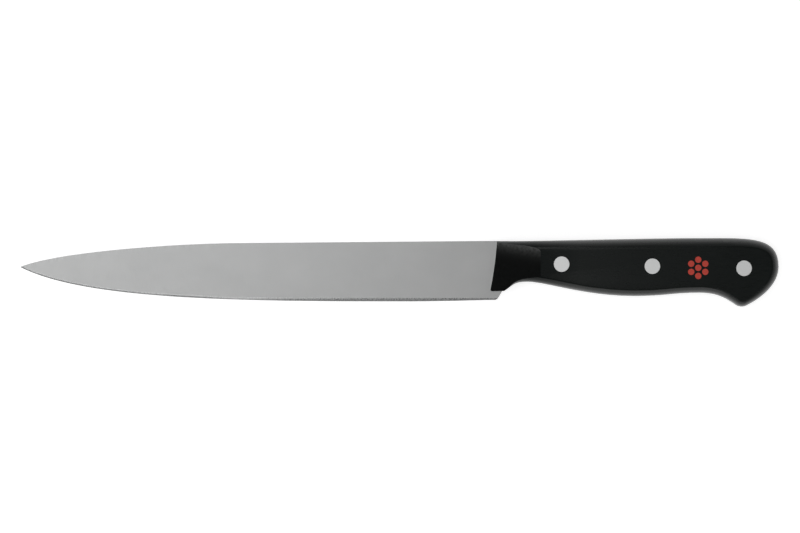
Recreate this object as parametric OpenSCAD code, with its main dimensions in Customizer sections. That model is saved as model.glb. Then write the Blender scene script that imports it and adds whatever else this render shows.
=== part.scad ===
// Carving knife with a full tang, two moulded scales and three two-part rivets.
// It lies on its side: +X runs from the tip to the butt, +Y to the spine, +Z is the thickness.

/* [Blade] */
// Blade length, from the tip to the top corner of the handle
blade_len = 200; // [150:5:260]
// Thickness of the sheet steel, which the tang keeps
steel_t = 2; // [1.5:0.1:3]
// Depth of the blade at the heel, from the spine to the edge
heel_depth = 24.8; // [23.5:0.1:30]
// Depth of the blade at its widest place
belly_blade_depth = 25.4; // [25:0.1:32]
// Distance of the widest place from the handle
belly_blade_x = 42; // [20:1:80]
// Drop of the tip below the spine at the handle
tip_drop = 10.9; // [5:0.1:16]
// Length of the curved front part of the spine
spine_fall_len = 90.5; // [40:0.5:110]
// Drop of the spine where that front part begins
spine_fall_start = 0.9; // [0:0.1:2.5]
// Slope of the spine at the tip, in degrees
spine_tip_slope = 21; // [12:1:30]
// Slope of the edge at the tip, in degrees
edge_tip_slope = 27; // [18:1:38]
// Height of the blunt end at the tip
tip_h = 0.3; // [0.2:0.1:1]
// Height of the sharpened bevel on each side
bevel_h = 0.8; // [0.4:0.1:1.5]
// Thickness of the blade just above the bevel
shoulder_t = 0.4; // [0.2:0.05:0.8]
// Width of the flat left on the edge itself
edge_t = 0.06; // [0.04:0.01:0.2]

/* [Heel] */
// Distance of the heel corner behind the top corner of the handle
heel_x = 0; // [-2:0.1:1]
// Slope of the rear face of the heel, in degrees from the edge
heel_slope = 59; // [45:1:80]
// Radius of the heel corner
heel_r = 2; // [0.5:0.1:2.5]
// Distance that the flat grind runs in under the scales
grind_run_in = 3; // [2.5:0.5:8]
// Straight stretch of the blade in front of the handle
ricasso_len = 4; // [3.5:0.5:8]

/* [Handle outline] */
// Height of the crown of the handle above the spine
crown_rise = 1.2; // [0:0.1:3]
// Distance from the crown forward to the front of the handle
crown_x = 84; // [70:1:92]
// Distance of the furthest point of the butt behind the beak
butt_run = 15.5; // [11:0.5:22]
// Depth of the furthest point of the butt below the spine
butt_depth = 10.8; // [8:0.1:14]
// Depth of the front lip of the handle
lip_depth = 21.1; // [19.5:0.1:22.5]
// Distance that the lip reaches behind the top corner
lip_x = 2.9; // [2.4:0.1:4]
// Slope of the front face of the handle, in degrees
nose_rake = 7.7; // [3:0.1:12]
// Depth of the hollow in the front face
nose_hollow = 0.33; // [0.1:0.01:0.8]
// Radius of the lower front corner
nose_r = 0.6; // [0.3:0.1:1]
// Distance from the front to the waist under the forefinger
waist_x = 12.7; // [10:0.1:16]
// Depth of the handle at the waist
waist_depth = 17.15; // [15:0.05:19]
// Distance from the waist back to the belly
belly_run = 44.8; // [34:0.1:54]
// Depth of the handle at the belly
belly_depth = 23.15; // [20:0.05:26]
// Distance from the belly back to the neck
neck_run = 27; // [20:0.1:34]
// Depth of the handle at the neck
neck_depth = 21.75; // [19:0.05:23]
// Distance from the neck back to the beak
beak_run = 18.2; // [14:0.1:24]
// Depth of the beak, the hook at the lower end of the butt
beak_depth = 27.6; // [25:0.1:31]
// Radius of the beak
beak_r = 4.3; // [3.5:0.1:6]

/* [Scales] */
// Thickness of one scale
scale_t = 6.3; // [5:0.1:8]
// Width of the rounding along the top of the handle
top_round = 4.3; // [2.5:0.1:5]
// Width of the rounding along the waist, belly and neck
grip_round = 3; // [2:0.1:3.5]
// Width of the rounding round the beak
beak_round = 2.3; // [1.5:0.1:3]
// Width of the rounding round the butt
butt_round = 3.3; // [2:0.1:4]
// Width of the rounding along the lip
lip_round = 0.5; // [0.3:0.1:0.6]
// Height of the rounding, from where it starts to the side face
round_h = 5; // [3:0.1:5.5]
// Length of the flat cheek cut at the front of each scale
cheek_len = 18.2; // [14:0.1:21]
// Thickness that the cheek takes off at the front
cheek_cut = 2.3; // [1:0.1:3]

/* [Rivets] */
// Distance of the front rivet from the front of the handle
rivet_x = 27; // [25:0.1:30]
// Depth of the front rivet below the spine
rivet_depth = 9.75; // [8.5:0.05:11]
// Distance between the front and the middle rivet
front_pitch = 38; // [32:0.1:40]
// Distance between the middle and the rear rivet
rear_pitch = 38.4; // [32:0.1:40]
// Fall of the row of rivets towards the butt, in degrees
rivet_fall = 1.3; // [0:0.1:3]
// Diameter of the rivet heads
head_d = 6.5; // [5.5:0.1:8]
// Thickness of the rivet heads
head_t = 2; // [1.5:0.1:3]
// Outer diameter of the tube on the socket half
tube_d = 4.8; // [4.2:0.1:5.2]
// Diameter of the solid pin
pin_d = 3.2; // [2.4:0.1:3.6]
// Clearance all round between a head and its recess
head_gap = 0.02; // [0.01:0.01:0.1]
// Clearance all round between the tube and its holes
tube_gap = 0.1; // [0.05:0.05:0.3]
// Clearance all round between the pin and the tube
pin_gap = 0.02; // [0.01:0.01:0.1]
// Clearance at the end of the pin and of the tube
end_gap = 0.3; // [0.1:0.1:1]

/* [Hidden] */
$fn = 64;

// Extra reach of a cutting body past the face that it cuts
over = 5;
// Steps along one curve of the outline
curve_steps = 12;
// Steps along the blade and round the edge of a scale
blade_steps = 44;
round_steps = 8;

// The handle's stations along X, each from the size that places it
belly_x = waist_x + belly_run;
neck_x = belly_x + neck_run;
beak_x = neck_x + beak_run;
butt_x = beak_x + butt_run;
nose_x = -lip_depth * tan(nose_rake);
side_z = steel_t / 2 + scale_t;

steel_grey = [0.66, 0.67, 0.67];
scale_black = [0.11, 0.13, 0.12];
rivet_grey = [0.77, 0.78, 0.78];

// A cubic curve through four control points, at t from 0 to 1
function cubic(c, t) =
    pow(1 - t, 3) * c[0] + 3 * pow(1 - t, 2) * t * c[1]
    + 3 * (1 - t) * t * t * c[2] + pow(t, 3) * c[3];

// The control points of a curve that leaves p in direction a and comes to q in direction b.
// Its two handles are shares of the straight distance, and a third value eases from p to q.
function flow(p, a, p_share, q, b, q_share) =
    let (span = norm([q.x - p.x, q.y - p.y]))
    [p,
     [p.x + p_share * span * cos(a), p.y + p_share * span * sin(a), p.z],
     [q.x - q_share * span * cos(b), q.y - q_share * span * sin(b), q.z],
     q];

// The points of a curve, without its last one
function curve_points(c, steps) = [for (i = [0:steps - 1]) cubic(c, i / steps)];

// The point of a curve at a given x, found by halving, for a curve that runs towards +X
function at_x(c, x, low = 0, high = 1, turns = 24) =
    let (mid = (low + high) / 2)
    turns == 0 ? cubic(c, mid)
    : cubic(c, mid).x < x ? at_x(c, x, mid, high, turns - 1)
    : at_x(c, x, low, mid, turns - 1);

// The point at a given x of two curves that join
function at_x_of(front, back, x) = x < back[0].x ? at_x(front, x) : at_x(back, x);

// The points of an arc that turns to the left, from heading a to heading b
function arc_points(c, r, a, b, steps, width) =
    [for (i = [0:steps])
        let (h = a + (b - a) * i / steps)
        [c.x + r * sin(h), c.y - r * cos(h), width]];

// The centre of an arc of radius r that rounds a corner, coming in at heading a, leaving at b
function corner_centre(p, a, b, r) =
    let (reach = r * tan((b - a) / 2))
    [p.x - reach * cos(a) - r * sin(a), p.y - reach * sin(a) + r * cos(a)];

// Stations of the handle: x, y and the width of the rounding there
crown = [crown_x, crown_rise, top_round];
butt = [butt_x, -butt_depth, butt_round];
lip = [lip_x, -lip_depth, lip_round];
waist = [waist_x, -waist_depth, grip_round];
belly = [belly_x, -belly_depth, grip_round];
neck = [neck_x, -neck_depth, grip_round];
beak_centre = [beak_x, beak_r - beak_depth];
beak_front_slope = 36;
beak_back_slope = 26;
beak_arc = arc_points(beak_centre, beak_r, -beak_front_slope, beak_back_slope, 6, beak_round);
beak_front = beak_arc[0];
beak_back = beak_arc[len(beak_arc) - 1];

// The top line rises to the crown and turns down into the butt
top_front = flow([0, 0, top_round], -1, 0.21, crown, 0, 0.29);
top_back = flow(crown, 0, 0.62, butt, -90, 0.36);

// The underside, from the lower front corner to the butt
nose_centre = corner_centre([nose_x, -lip_depth], -90 - nose_rake, 0, nose_r);
bottom_line = concat(
    arc_points(nose_centre, nose_r, -90 - nose_rake, 0, 3, lip_round),
    curve_points(flow(lip, 30, 0.42, waist, 0, 0.57), 8),
    curve_points(flow(waist, 0, 0.175, belly, 0, 0.46), curve_steps),
    curve_points(flow(belly, 0, 0.49, neck, 0, 0.4), 8),
    curve_points(flow(neck, 0, 0.36, beak_front, -beak_front_slope, 0.42), 8),
    beak_arc,
    [for (i = [1:curve_steps - 1])
        cubic(flow(beak_back, beak_back_slope, 0.29, butt, 90, 0.37), i / curve_steps)]);

// The top line has one point over each point of the underside, spread out over the nose
top_line = [for (p = bottom_line)
    let (first = bottom_line[0].x)
    at_x_of(top_front, top_back,
            p.x < waist_x ? (p.x - first) * waist_x / (waist_x - first) : p.x)];

rungs = len(bottom_line);
outline = concat(top_line, [butt], [for (i = [rungs - 1:-1:0]) bottom_line[i]]);
outline_n = len(outline);

// The direction into the handle at each point of the outline, square to it.
// At both ends of the front face it runs along that face, which so stays flat.
function inward(i) =
    let (a = outline[(i + outline_n - 1) % outline_n],
         b = outline[(i + 1) % outline_n],
         front = outline[0] - outline[outline_n - 1],
         front_l = norm([front.x, front.y]),
         l = norm([b.x - a.x, b.y - a.y]))
    i == 0 ? [-front.x / front_l, -front.y / front_l]
    : i == outline_n - 1 ? [front.x / front_l, front.y / front_l]
    : [(b.y - a.y) / l, (a.x - b.x) / l];
inward_at = [for (i = [0:outline_n - 1]) inward(i)];

// Levels of a scale: height, and the share of the rounding's width taken off there
levels = concat([[0, 0]], [for (k = [0:round_steps])
    let (a = 90 * k / round_steps)
    [side_z - round_h * (1 - sin(a)), 1 - cos(a)]]);

// The knife's middle in X and Y, which the origin lies under
mid_x = (butt_x - blade_len) / 2;
mid_y = (max([for (p = top_line) p.y]) + min([for (p = bottom_line) p.y])) / 2;

// How much half the blade thickens for each millimetre above the bevel
grind_slope = (steel_t - shoulder_t) / 2 / (heel_depth - bevel_h);

spine_fall = [-blade_len + spine_fall_len, -spine_fall_start, 0];
spine_front = flow([-blade_len, -tip_drop + tip_h / 2, 0], spine_tip_slope, 0.2,
                   spine_fall, 0.3, 0.25);
spine_back = flow(spine_fall, 0.3, 0.33, [-ricasso_len, 0, 0], 0.3, 0.33);
widest = [-belly_blade_x, -belly_blade_depth, 0];
edge_front = flow([-blade_len, -tip_drop - tip_h / 2, 0], -edge_tip_slope, 0.185,
                  widest, 0, 0.44);
edge_back = flow(widest, 0, 0.33, [-ricasso_len, -heel_depth, 0], 1.7, 0.33);

// Half of the blade's section at x: spine, shoulder of the bevel, edge, as [y, half thickness]
function half_section(x) =
    let (ys = x > -ricasso_len ? 0 : at_x_of(spine_front, spine_back, x).y,
         ye = x > -ricasso_len ? -heel_depth : at_x_of(edge_front, edge_back, x).y,
         bevel = min(bevel_h, (ys - ye) / 2),
         yk = ye + bevel,
         tk = shoulder_t / 2 * bevel / bevel_h)
    [[ys, min(steel_t / 2, tk + grind_slope * (ys - yk))], [yk, tk], [ye, edge_t / 2]];

function section(x) =
    let (h = half_section(x))
    concat([for (i = [0:2]) [x, h[i].x, h[i].y]], [for (i = [2:-1:0]) [x, h[i].x, -h[i].y]]);

// Stations along the blade, closer together towards the tip
blade_x = concat(
    [for (j = [0:blade_steps])
        -blade_len + (blade_len - ricasso_len) * pow(j / blade_steps, 1.5)],
    [grind_run_in + 2]);

// Places of the rivets
rivet_xs = [rivet_x, rivet_x + front_pitch, rivet_x + front_pitch + rear_pitch];
function rivet_at(i) =
    [rivet_xs[i], -rivet_depth - (rivet_xs[i] - rivet_x) * tan(rivet_fall), 0];
head_z = side_z - head_t;

// Everything is drawn round the top front corner of the handle and then set on its side face
module placed() {
    translate([-mid_x, -mid_y, side_z]) children();
}

// A solid through rings of points, wound clockwise as seen from the last ring, with its own caps
module loft(rings, first_cap, last_cap) {
    n = len(rings[0]);
    last = (len(rings) - 1) * n;
    sides = [for (i = [0:len(rings) - 2]) for (j = [0:n - 1])
        let (a = i * n + j, b = i * n + (j + 1) % n)
        each [[a, b, b + n], [a, b + n, a + n]]];
    polyhedron(points = [for (r = rings) each r],
               faces = concat(sides, first_cap, [for (f = last_cap) [for (v = f) v + last]]));
}

// The ground blade, from the tip to just inside the tang
module blade_body() {
    loft([for (i = [len(blade_x) - 1:-1:0]) section(blade_x[i])],
         [[5, 4, 3, 2, 1, 0]], [[0, 1, 2, 3, 4, 5]]);
}

// The full tang, cut from the sheet to the outline of the handle
module tang() {
    difference() {
        translate([0, 0, -steel_t / 2])
            linear_extrude(steel_t) polygon([for (p = outline) [p.x, p.y]]);
        translate([grind_run_in - 40, -40, -over]) cube([40, 60, 2 * over]);
    }
}

// What is cut away behind the heel and under the front of the handle
module heel_cut() {
    corner = [heel_x, -heel_depth];
    arc = arc_points(corner_centre(corner, 0, heel_slope, heel_r), heel_r, 0, heel_slope, 6, 0);
    back_x = heel_x + (heel_depth - lip_depth) / tan(heel_slope);
    low = -heel_depth - over;
    end_x = grind_run_in + 2 * over;
    under = [for (p = bottom_line) if (p.x >= lip_x && p.x < end_x) [p.x, p.y]];
    translate([0, 0, -over]) linear_extrude(2 * over) {
        polygon(concat([for (p = arc) [p.x, p.y]],
                       [[back_x, -lip_depth], [end_x, -lip_depth], [end_x, low], [arc[0].x, low]]));
        polygon(concat(under, [[under[len(under) - 1].x, low], [lip_x, low]]));
    }
}

// A scale before its cuts: the outline drawn in along a quarter of an ellipse
module scale_blank() {
    top = outline_n - 1;
    ladder = concat(
        [for (i = [0:rungs - 2]) [i, i + 1, top - i - 1, top - i]],
        [[rungs - 1, rungs, rungs + 1]]);
    loft([for (l = levels) [for (i = [0:outline_n - 1])
            let (p = outline[i])
            [p.x + inward_at[i].x * p.z * l.y, p.y + inward_at[i].y * p.z * l.y, l.x]]],
         [for (f = ladder) [for (k = [len(f) - 1:-1:0]) f[k]]], ladder);
}

// The room that the steel takes up under a scale: the tang, and the ground flank in front of it
module steel_room() {
    translate([grind_run_in, -40, -over]) cube([butt_x, 60, over + steel_t / 2]);
    translate([-20, 0, 0]) rotate([90, 0, 90]) linear_extrude(20 + grind_run_in)
        polygon([[-heel_depth, steel_t / 2 - heel_depth * grind_slope], [0, steel_t / 2],
                 [over, steel_t / 2], [over, -over], [-heel_depth, -over]]);
}

// The flat cheek at the front of a scale
module cheek() {
    reach = 10;
    translate([0, over, 0]) rotate([90, 0, 0]) linear_extrude(heel_depth + 2 * over)
        polygon([[cheek_len, side_z], [-reach, side_z - cheek_cut * (cheek_len + reach) / cheek_len],
                 [-reach, side_z + over], [cheek_len, side_z + over]]);
}

// The hollow in the front face, a wide arc between its two ends
module nose_hollow_cut() {
    top = outline[0];
    low = outline[outline_n - 1];
    span = norm([top.x - low.x, top.y - low.y]) + 0.6;
    r = span * span / 8 / nose_hollow + nose_hollow / 2;
    translate([(top.x + low.x) / 2 - (r - nose_hollow) * cos(nose_rake),
               (top.y + low.y) / 2 + (r - nose_hollow) * sin(nose_rake), -over])
        cylinder(r = r, h = side_z + 2 * over, $fn = 360);
}

// A scale with its inner face down, with holes of bore_d and recesses for the heads
module handle_scale() {
    difference() {
        scale_blank();
        steel_room();
        cheek();
        nose_hollow_cut();
        for (i = [0:2]) translate(rivet_at(i)) {
            translate([0, 0, -over]) cylinder(d = tube_d + 2 * tube_gap, h = side_z + over);
            translate([0, 0, head_z]) cylinder(d = head_d + 2 * head_gap, h = head_t + over);
        }
    }
}

// The solid half of a rivet, headed on the left side
module rivet_pin(i) {
    color(rivet_grey) placed() translate(rivet_at(i)) {
        translate([0, 0, head_z]) cylinder(d = head_d, h = head_t);
        translate([0, 0, end_gap - head_z]) cylinder(d = pin_d, h = 2 * head_z - end_gap + head_t / 2);
    }
}

// The tubular half of a rivet, headed on the right side
module rivet_socket(i) {
    color(rivet_grey) placed() translate(rivet_at(i)) difference() {
        union() {
            translate([0, 0, -side_z]) cylinder(d = head_d, h = head_t);
            translate([0, 0, -side_z + head_t / 2])
                cylinder(d = tube_d, h = head_z + side_z - head_t / 2 - end_gap);
        }
        translate([0, 0, -head_z]) cylinder(d = pin_d + 2 * pin_gap, h = 2 * side_z);
    }
}

module blade() {
    color(steel_grey) placed() difference() {
        union() {
            blade_body();
            tang();
        }
        heel_cut();
        for (i = [0:2]) translate(rivet_at(i) - [0, 0, over])
            cylinder(d = tube_d + 2 * tube_gap, h = 2 * over);
    }
}

module left_scale() {
    color(scale_black) placed() handle_scale();
}

module right_scale() {
    color(scale_black) placed() mirror([0, 0, 1]) handle_scale();
}

module front_rivet_pin() { rivet_pin(0); }
module front_rivet_socket() { rivet_socket(0); }
module middle_rivet_pin() { rivet_pin(1); }
module middle_rivet_socket() { rivet_socket(1); }
module rear_rivet_pin() { rivet_pin(2); }
module rear_rivet_socket() { rivet_socket(2); }

blade();
left_scale();
right_scale();
front_rivet_pin();
front_rivet_socket();
middle_rivet_pin();
middle_rivet_socket();
rear_rivet_pin();
rear_rivet_socket();
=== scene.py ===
"""Looks of the carving knife.

Satin ground steel, black moulded scales and flat rivets, on a white table.
"""

import math

import bmesh
import bpy
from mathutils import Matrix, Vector

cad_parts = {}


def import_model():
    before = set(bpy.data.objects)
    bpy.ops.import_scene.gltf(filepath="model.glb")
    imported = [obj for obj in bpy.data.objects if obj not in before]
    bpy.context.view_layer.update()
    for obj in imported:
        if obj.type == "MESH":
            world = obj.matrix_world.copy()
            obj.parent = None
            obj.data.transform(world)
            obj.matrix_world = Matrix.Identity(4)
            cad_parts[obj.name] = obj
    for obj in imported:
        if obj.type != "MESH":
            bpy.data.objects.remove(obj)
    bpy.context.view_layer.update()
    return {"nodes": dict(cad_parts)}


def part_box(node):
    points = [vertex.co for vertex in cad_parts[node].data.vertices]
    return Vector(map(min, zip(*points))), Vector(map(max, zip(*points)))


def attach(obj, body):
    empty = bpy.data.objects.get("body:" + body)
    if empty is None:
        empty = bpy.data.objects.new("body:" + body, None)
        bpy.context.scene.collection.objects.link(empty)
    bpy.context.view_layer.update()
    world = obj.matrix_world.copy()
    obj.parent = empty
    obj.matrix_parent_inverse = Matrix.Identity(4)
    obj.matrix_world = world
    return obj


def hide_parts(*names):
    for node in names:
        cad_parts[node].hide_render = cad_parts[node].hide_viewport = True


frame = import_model()

# The photograph: its width in pixels, its scale, and its middle in metres of the knife's frame
PICTURE_PIXELS = 800
METRES_PER_PIXEL = 0.00042
LOOK_AT = Vector((0.0002, 0.00245, 0.0073))

# The camera: its height over the knife, how far it sees, and its film's width in millimetres
CAMERA_HEIGHT = 2.5
CAMERA_REACH = 20
FILM_WIDTH = 36

# The table: half its width, and how far it lies under the knife, so that no faces coincide
TABLE_REACH = 6
TABLE_GAP = 0.00005
# Its own white, and the light added where it is looked at, so that it shows as pure white
TABLE_WHITE = 0.82
TABLE_LIFT = 0.7

# The strength of the white room at the horizon and overhead
HORIZON = 0.9
ZENITH = 0.15

# The lamps: name, place, the point each faces, width, depth and power in watts
LAMPS = (
    ("overhead", (-0.36, 0, 1.2), (-0.36, 0, 0), 0.8, 0.4, 2),
    ("front", (0, -1.2, 0.7), (0, 0, 0), 1, 1, 2),
)

# The ornament: seven dots, on the left scale between the middle and the rear rivet
ORNAMENT_PLACE = (0.1251, 0.0019)
ORNAMENT_RING = 0.0034
DOT_RADIUS = 0.00135
# How far a dot stands over the scale and sinks into it, and the share of its radius at the top
DOT_RISE = 0.00003
DOT_TAPER = 0.97
DOT_SIDES = 48

# The least size of the normal's Z on a flank and on a bevel of the blade
FLANK_Z = 0.995
BEVEL_Z = 0.9
# The least size of the normal's Z on the flat side of a scale
FLAT_Z = 0.985
# On a cheek: how far the normal leans forward, its least Z and its greatest Y
CHEEK_LEAN = (0.09, 0.16)
CHEEK_Z = 0.96
CHEEK_Y = 0.01

# The distance within which points are welded, and the angle up to which faces count as one plane
WELD = 1e-6
FLAT_ANGLE = math.radians(0.4)
# Edges sharper than this are softened, by these widths
SHARP_ANGLE = math.radians(30)
BLADE_SOFTENING = 0.00004
SCALE_SOFTENING = 0.00012
RIVET_SOFTENING = 0.00005

# The depth of grinding lines and rub marks, and of the cheek's grain
LINE_DEPTH = 0.00001
GRAIN_DEPTH = 0.00006

# Painted shade: between which X the plastic gains its full sheen, going back from the cheek, so that
# its front shows darker
FRONT_SHADE_ENDS = (0.056, 0.076)

# The cheek's grain is painted grey as a highlight towards its slanted top line: the way up to
# that line, between which distances along it, and how steeply
CHEEK_UP = (0.163, 1, 0)
CHEEK_PAINTED_LIGHT = (0.008, 0.0191)
CHEEK_STEEPNESS = 5


def material(name, colour, roughness, metallic=0.0):
    """A Principled material, whose colour and roughness a texture may then take over."""
    m = bpy.data.materials.new(name)
    m.use_nodes = True
    shader = shader_of(m)
    shader.inputs["Base Color"].default_value = (*colour, 1)
    shader.inputs["Roughness"].default_value = roughness
    shader.inputs["Metallic"].default_value = metallic
    return m


def shader_of(m):
    """The Principled node of a material."""
    return m.node_tree.nodes["Principled BSDF"]


def node(m, kind, **inputs):
    """A new node in a material, with some of its inputs set."""
    n = m.node_tree.nodes.new(kind)
    for key, value in inputs.items():
        n.inputs[key.replace("_", " ")].default_value = value
    return n


def link(m, a, b):
    """Joins an output to an input."""
    m.node_tree.links.new(a, b)


def maths(m, operation, a, b):
    """The result of a sum on an output and on a second output or a number."""
    n = node(m, "ShaderNodeMath")
    n.operation = operation
    link(m, a, n.inputs[0])
    if isinstance(b, (int, float)):
        n.inputs[1].default_value = b
    else:
        link(m, b, n.inputs[1])
    return n.outputs["Value"]


def placed(m, scale):
    """Object coordinates in metres, stretched by scale."""
    where = node(m, "ShaderNodeTexCoord")
    mapping = node(m, "ShaderNodeMapping", Scale=scale)
    link(m, where.outputs["Object"], mapping.inputs["Vector"])
    return mapping.outputs["Vector"]


def noise(m, scale, detail=4.0):
    """Noise whose grains are 1/scale metres along each axis."""
    n = node(m, "ShaderNodeTexNoise", Scale=1.0, Detail=detail)
    link(m, placed(m, scale), n.inputs["Vector"])
    return n.outputs["Fac"]


def bump(m, height, strength, distance):
    """Raises the surface by a height map."""
    b = node(m, "ShaderNodeBump", Strength=strength, Distance=distance)
    link(m, height, b.inputs["Height"])
    link(m, b.outputs["Normal"], shader_of(m).inputs["Normal"])


def vary(m, factor, socket, low, high, span=(0.3, 0.7)):
    """Moves one of the shader's inputs from low to high as a factor goes over its span."""
    start, end = span
    r = node(m, "ShaderNodeMapRange", From_Min=start, From_Max=end, To_Min=low, To_Max=high)
    link(m, factor, r.inputs["Value"])
    link(m, r.outputs["Result"], shader_of(m).inputs[socket])


def tint(m, factor, low, high, span=(0.3, 0.7)):
    """Moves the base colour from low to high as a factor goes over its span."""
    ramp = node(m, "ShaderNodeValToRGB")
    for stop, place, colour in zip(ramp.color_ramp.elements, span, (low, high)):
        stop.position = place
        stop.color = (*colour, 1)
    link(m, factor, ramp.inputs["Fac"])
    link(m, ramp.outputs["Color"], shader_of(m).inputs["Base Color"])


def rise(m, way, low, high):
    """From 0 to 1 as the distance along a direction goes from low to high, in metres."""
    along = node(m, "ShaderNodeVectorMath")
    along.operation = "DOT_PRODUCT"
    along.inputs[1].default_value = way
    link(m, placed(m, (1, 1, 1)), along.inputs[0])
    r = node(m, "ShaderNodeMapRange", From_Min=low, From_Max=high)
    link(m, along.outputs["Value"], r.inputs["Value"])
    return r.outputs["Result"]


def ground_steel():
    """The flanks: fine grinding lines across the blade, over a soft unevenness."""
    m = material("ground_steel", (0.45, 0.455, 0.455), 0.36, 1.0)
    lines = noise(m, (9000, 250, 250))
    clouds = noise(m, (60, 90, 90), 2.0)
    tint(m, clouds, (0.442, 0.446, 0.446), (0.461, 0.465, 0.464))
    vary(m, lines, "Roughness", 0.32, 0.42)
    bump(m, lines, 0.25, LINE_DEPTH)
    return m


def edge_steel():
    """The sharpened bevel, ground finer than the flanks."""
    m = material("edge_steel", (0.45, 0.455, 0.455), 0.3, 1.0)
    lines = noise(m, (6000, 900, 900))
    vary(m, lines, "Roughness", 0.22, 0.34)
    bump(m, lines, 0.2, LINE_DEPTH)
    return m


def sheet_steel():
    """The spine and the rim of the tang, linished along the sheet's edge."""
    m = material("sheet_steel", (0.52, 0.53, 0.53), 0.42, 1.0)
    lines = noise(m, (300, 300, 9000))
    vary(m, lines, "Roughness", 0.36, 0.5)
    bump(m, lines, 0.3, LINE_DEPTH)
    return m


def buffed_plastic(name, sheen, shaded_front_share, smooth, rough):
    """Black plastic with faint rub marks and, as painted shade at the front, only a share of its
    sheen.
    """
    m = material(name, (0.0035, 0.0062, 0.0052), 0.3)
    # Painted shade: the sheen is turned down towards the cheek, so the front of the handle shows
    # darker
    unshaded = rise(m, (1, 0, 0), *FRONT_SHADE_ENDS)
    vary(m, unshaded, "Specular IOR Level", shaded_front_share * sheen, sheen, (0, 1))
    rub = noise(m, (250, 1800, 1800))
    clouds = noise(m, (40, 60, 60), 2.0)
    tint(m, clouds, (0.001, 0.003, 0.0023), (0.002, 0.0044, 0.0037))
    vary(m, rub, "Roughness", smooth, rough)
    bump(m, rub, 0.06, LINE_DEPTH)
    return m


def grained_plastic():
    """The cheeks, left as moulded: a fine matt grain, with a painted highlight greying it towards the
    top.
    """
    m = material("grained_plastic", (0.003, 0.0036, 0.0034), 0.5)
    shader_of(m).inputs["Specular IOR Level"].default_value = 0.08
    grain = noise(m, (2600, 2600, 2600), 3.0)
    patches = noise(m, (900, 900, 900), 3.0)
    # Painted highlight: the grain's patches are painted grey, most strongly at the slanted top line
    light_mask = maths(m, "POWER", rise(m, CHEEK_UP, *CHEEK_PAINTED_LIGHT), CHEEK_STEEPNESS)
    painted_light = maths(m, "MULTIPLY", patches, light_mask)
    tint(m, painted_light, (0.0015, 0.002, 0.0018), (0.09, 0.092, 0.091), (0.0, 0.62))
    vary(m, patches, "Roughness", 0.45, 0.65)
    bump(m, grain, 0.5, GRAIN_DEPTH)
    return m


def rivet_metal():
    """Rivet heads ground flush with the scales."""
    m = material("rivet_metal", (0.94, 0.95, 0.945), 0.34, 1.0)
    lines = noise(m, (1200, 7000, 7000))
    vary(m, lines, "Roughness", 0.42, 0.54)
    bump(m, lines, 0.2, LINE_DEPTH)
    return m


def red_print():
    """The ornament's paint, a little uneven."""
    m = material("red_print", (0.62, 0.055, 0.033), 0.4)
    patches = noise(m, (1500, 1500, 1500), 3.0)
    tint(m, patches, (0.56, 0.046, 0.027), (0.68, 0.064, 0.039))
    vary(m, patches, "Roughness", 0.34, 0.5)
    return m


def white_table():
    """White that keeps a shadow, and is lifted to pure white where it or its mirror image is seen."""
    m = material("white_table", (TABLE_WHITE, TABLE_WHITE, TABLE_WHITE), 0.9)
    shader = shader_of(m)
    shader.inputs["Specular IOR Level"].default_value = 0.0
    shader.inputs["Emission Color"].default_value = (1, 1, 1, 1)
    rays = node(m, "ShaderNodeLightPath").outputs
    seen = maths(m, "MAXIMUM", rays["Is Camera Ray"], rays["Is Glossy Ray"])
    seen = maths(m, "MAXIMUM", seen, rays["Is Transmission Ray"])
    link(m, maths(m, "MULTIPLY", seen, TABLE_LIFT), shader.inputs["Emission Strength"])
    return m


def shown(name, mesh, materials):
    """A new object in the scene, with its materials."""
    piece = bpy.data.objects.new(name, mesh)
    bpy.context.collection.objects.link(piece)
    for m in materials:
        mesh.materials.append(m)
    return piece


def skin(name, materials, kind_of_face, softening):
    """The visible form of a CAD node: its own faces, welded, smooth and with softened edges."""
    made = bmesh.new()
    made.from_mesh(frame["nodes"][name].data)
    bmesh.ops.remove_doubles(made, verts=made.verts, dist=WELD)
    bmesh.ops.dissolve_limit(made, angle_limit=FLAT_ANGLE, verts=made.verts, edges=made.edges)
    for face in made.faces:
        face.smooth = True
        face.material_index = kind_of_face(face)
    mesh = bpy.data.meshes.new(name + "_skin")
    made.to_mesh(mesh)
    made.free()
    piece = shown(name + "_skin", mesh, materials)
    soft = piece.modifiers.new("soft_edges", "BEVEL")
    soft.width = softening
    soft.segments = 2
    soft.limit_method = "ANGLE"
    soft.angle_limit = SHARP_ANGLE
    even = piece.modifiers.new("even_faces", "WEIGHTED_NORMAL")
    even.weight = 90
    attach(piece, "root")
    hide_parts(name)


def blade_face(face):
    """0 for a flank, 1 for a bevel, 2 for the spine and the rims."""
    z = abs(face.normal.z)
    if z > FLANK_Z:
        return 0
    return 1 if z > BEVEL_Z else 2


def scale_face(face):
    """0 for the rounded rim, 1 for the grained cheek, 2 for the flat side."""
    low, high = CHEEK_LEAN
    n = face.normal
    if low < -n.x < high and abs(n.z) > CHEEK_Z and abs(n.y) < CHEEK_Y:
        return 1
    return 2 if abs(n.z) > FLAT_Z else 0


def any_face(face):
    """0, the only material of a rivet."""
    return 0


def dot(name, x, y, level, m):
    """A thin round dot of paint, centred on a level."""
    made = bmesh.new()
    bmesh.ops.create_cone(made, cap_ends=True, segments=DOT_SIDES, radius1=DOT_RADIUS,
                          radius2=DOT_RADIUS * DOT_TAPER, depth=2 * DOT_RISE)
    mesh = bpy.data.meshes.new(name)
    made.to_mesh(mesh)
    made.free()
    for v in mesh.vertices:
        v.co += Vector((x, y, level))
    piece = shown(name, mesh, (m,))
    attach(piece, "root")


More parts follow.
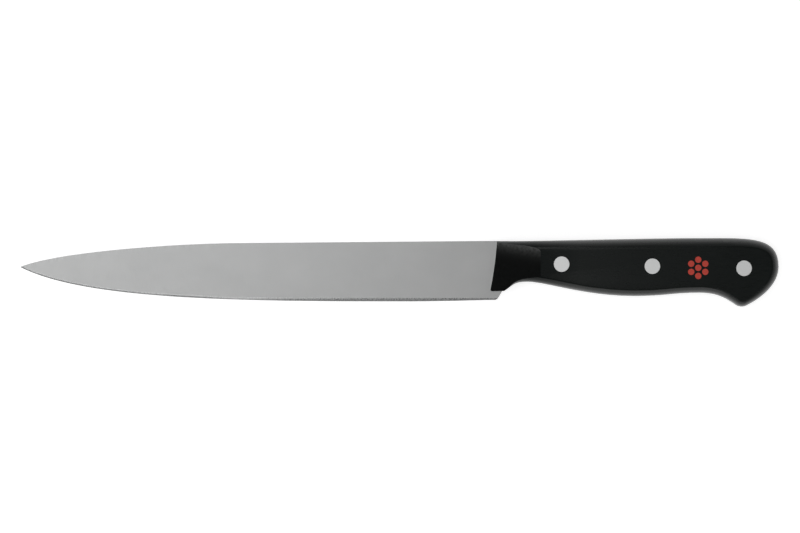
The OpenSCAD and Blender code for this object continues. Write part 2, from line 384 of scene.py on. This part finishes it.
def ornament(m):
    """Six dots round a seventh."""
    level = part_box("left_scale")[1].z
    x, y = ORNAMENT_PLACE
    dot("ornament_dot_1", x, y, level, m)
    for turn in range(6):
        a = math.radians(60 * turn + 30)
        dot(f"ornament_dot_{turn + 2}", x + ORNAMENT_RING * math.cos(a),
            y + ORNAMENT_RING * math.sin(a), level, m)


def camera():
    """Straight down on the knife's side, through a long lens, as the photograph was taken."""
    data = bpy.data.cameras.new("camera")
    data.sensor_width = FILM_WIDTH
    data.lens = FILM_WIDTH * CAMERA_HEIGHT / (PICTURE_PIXELS * METRES_PER_PIXEL)
    data.clip_end = CAMERA_REACH
    eye = bpy.data.objects.new("camera", data)
    eye.location = LOOK_AT + Vector((0, 0, CAMERA_HEIGHT))
    bpy.context.collection.objects.link(eye)
    bpy.context.scene.camera = eye


def floor():
    """The table under the knife."""
    r = TABLE_REACH
    z = -TABLE_GAP
    mesh = bpy.data.meshes.new("table")
    mesh.from_pydata([(-r, -r, z), (r, -r, z), (r, r, z), (-r, r, z)], [], [(0, 1, 2, 3)])
    shown("table", mesh, (white_table(),))


def world():
    """A white room, bright at the horizon and dim overhead."""
    w = bpy.data.worlds.new("room")
    bpy.context.scene.world = w
    w.use_nodes = True
    background = w.node_tree.nodes["Background"]
    background.inputs["Color"].default_value = (1, 1, 1, 1)
    where = node(w, "ShaderNodeTexCoord")
    split = node(w, "ShaderNodeSeparateXYZ")
    level = node(w, "ShaderNodeMapRange", From_Min=0, From_Max=1, To_Min=HORIZON, To_Max=ZENITH)
    link(w, where.outputs["Generated"], split.inputs["Vector"])
    link(w, split.outputs["Z"], level.inputs["Value"])
    link(w, level.outputs["Result"], background.inputs["Strength"])


def lamp(name, place, aim, width, depth, watts):
    """A soft box lamp."""
    data = bpy.data.lights.new(name, "AREA")
    data.shape = "RECTANGLE"
    data.size = width
    data.size_y = depth
    data.energy = watts
    o = bpy.data.objects.new(name, data)
    o.location = place
    o.rotation_euler = (Vector(aim) - Vector(place)).to_track_quat("-Z", "Y").to_euler()
    bpy.context.collection.objects.link(o)


blade_looks = (ground_steel(), edge_steel(), sheet_steel())
scale_looks = (buffed_plastic("rim_plastic", 0.5, 0.4, 0.22, 0.3),
               grained_plastic(),
               buffed_plastic("side_plastic", 0.25, 0.3, 0.26, 0.34))
rivet_looks = (rivet_metal(),)

skin("blade", blade_looks, blade_face, BLADE_SOFTENING)
for side in ("left", "right"):
    skin(f"{side}_scale", scale_looks, scale_face, SCALE_SOFTENING)
for place in ("front", "middle", "rear"):
    for half in ("pin", "socket"):
        skin(f"{place}_rivet_{half}", rivet_looks, any_face, RIVET_SOFTENING)
ornament(red_print())

camera()
floor()
world()
for values in LAMPS:
    lamp(*values)
bpy.context.scene.view_settings.view_transform = "Standard"
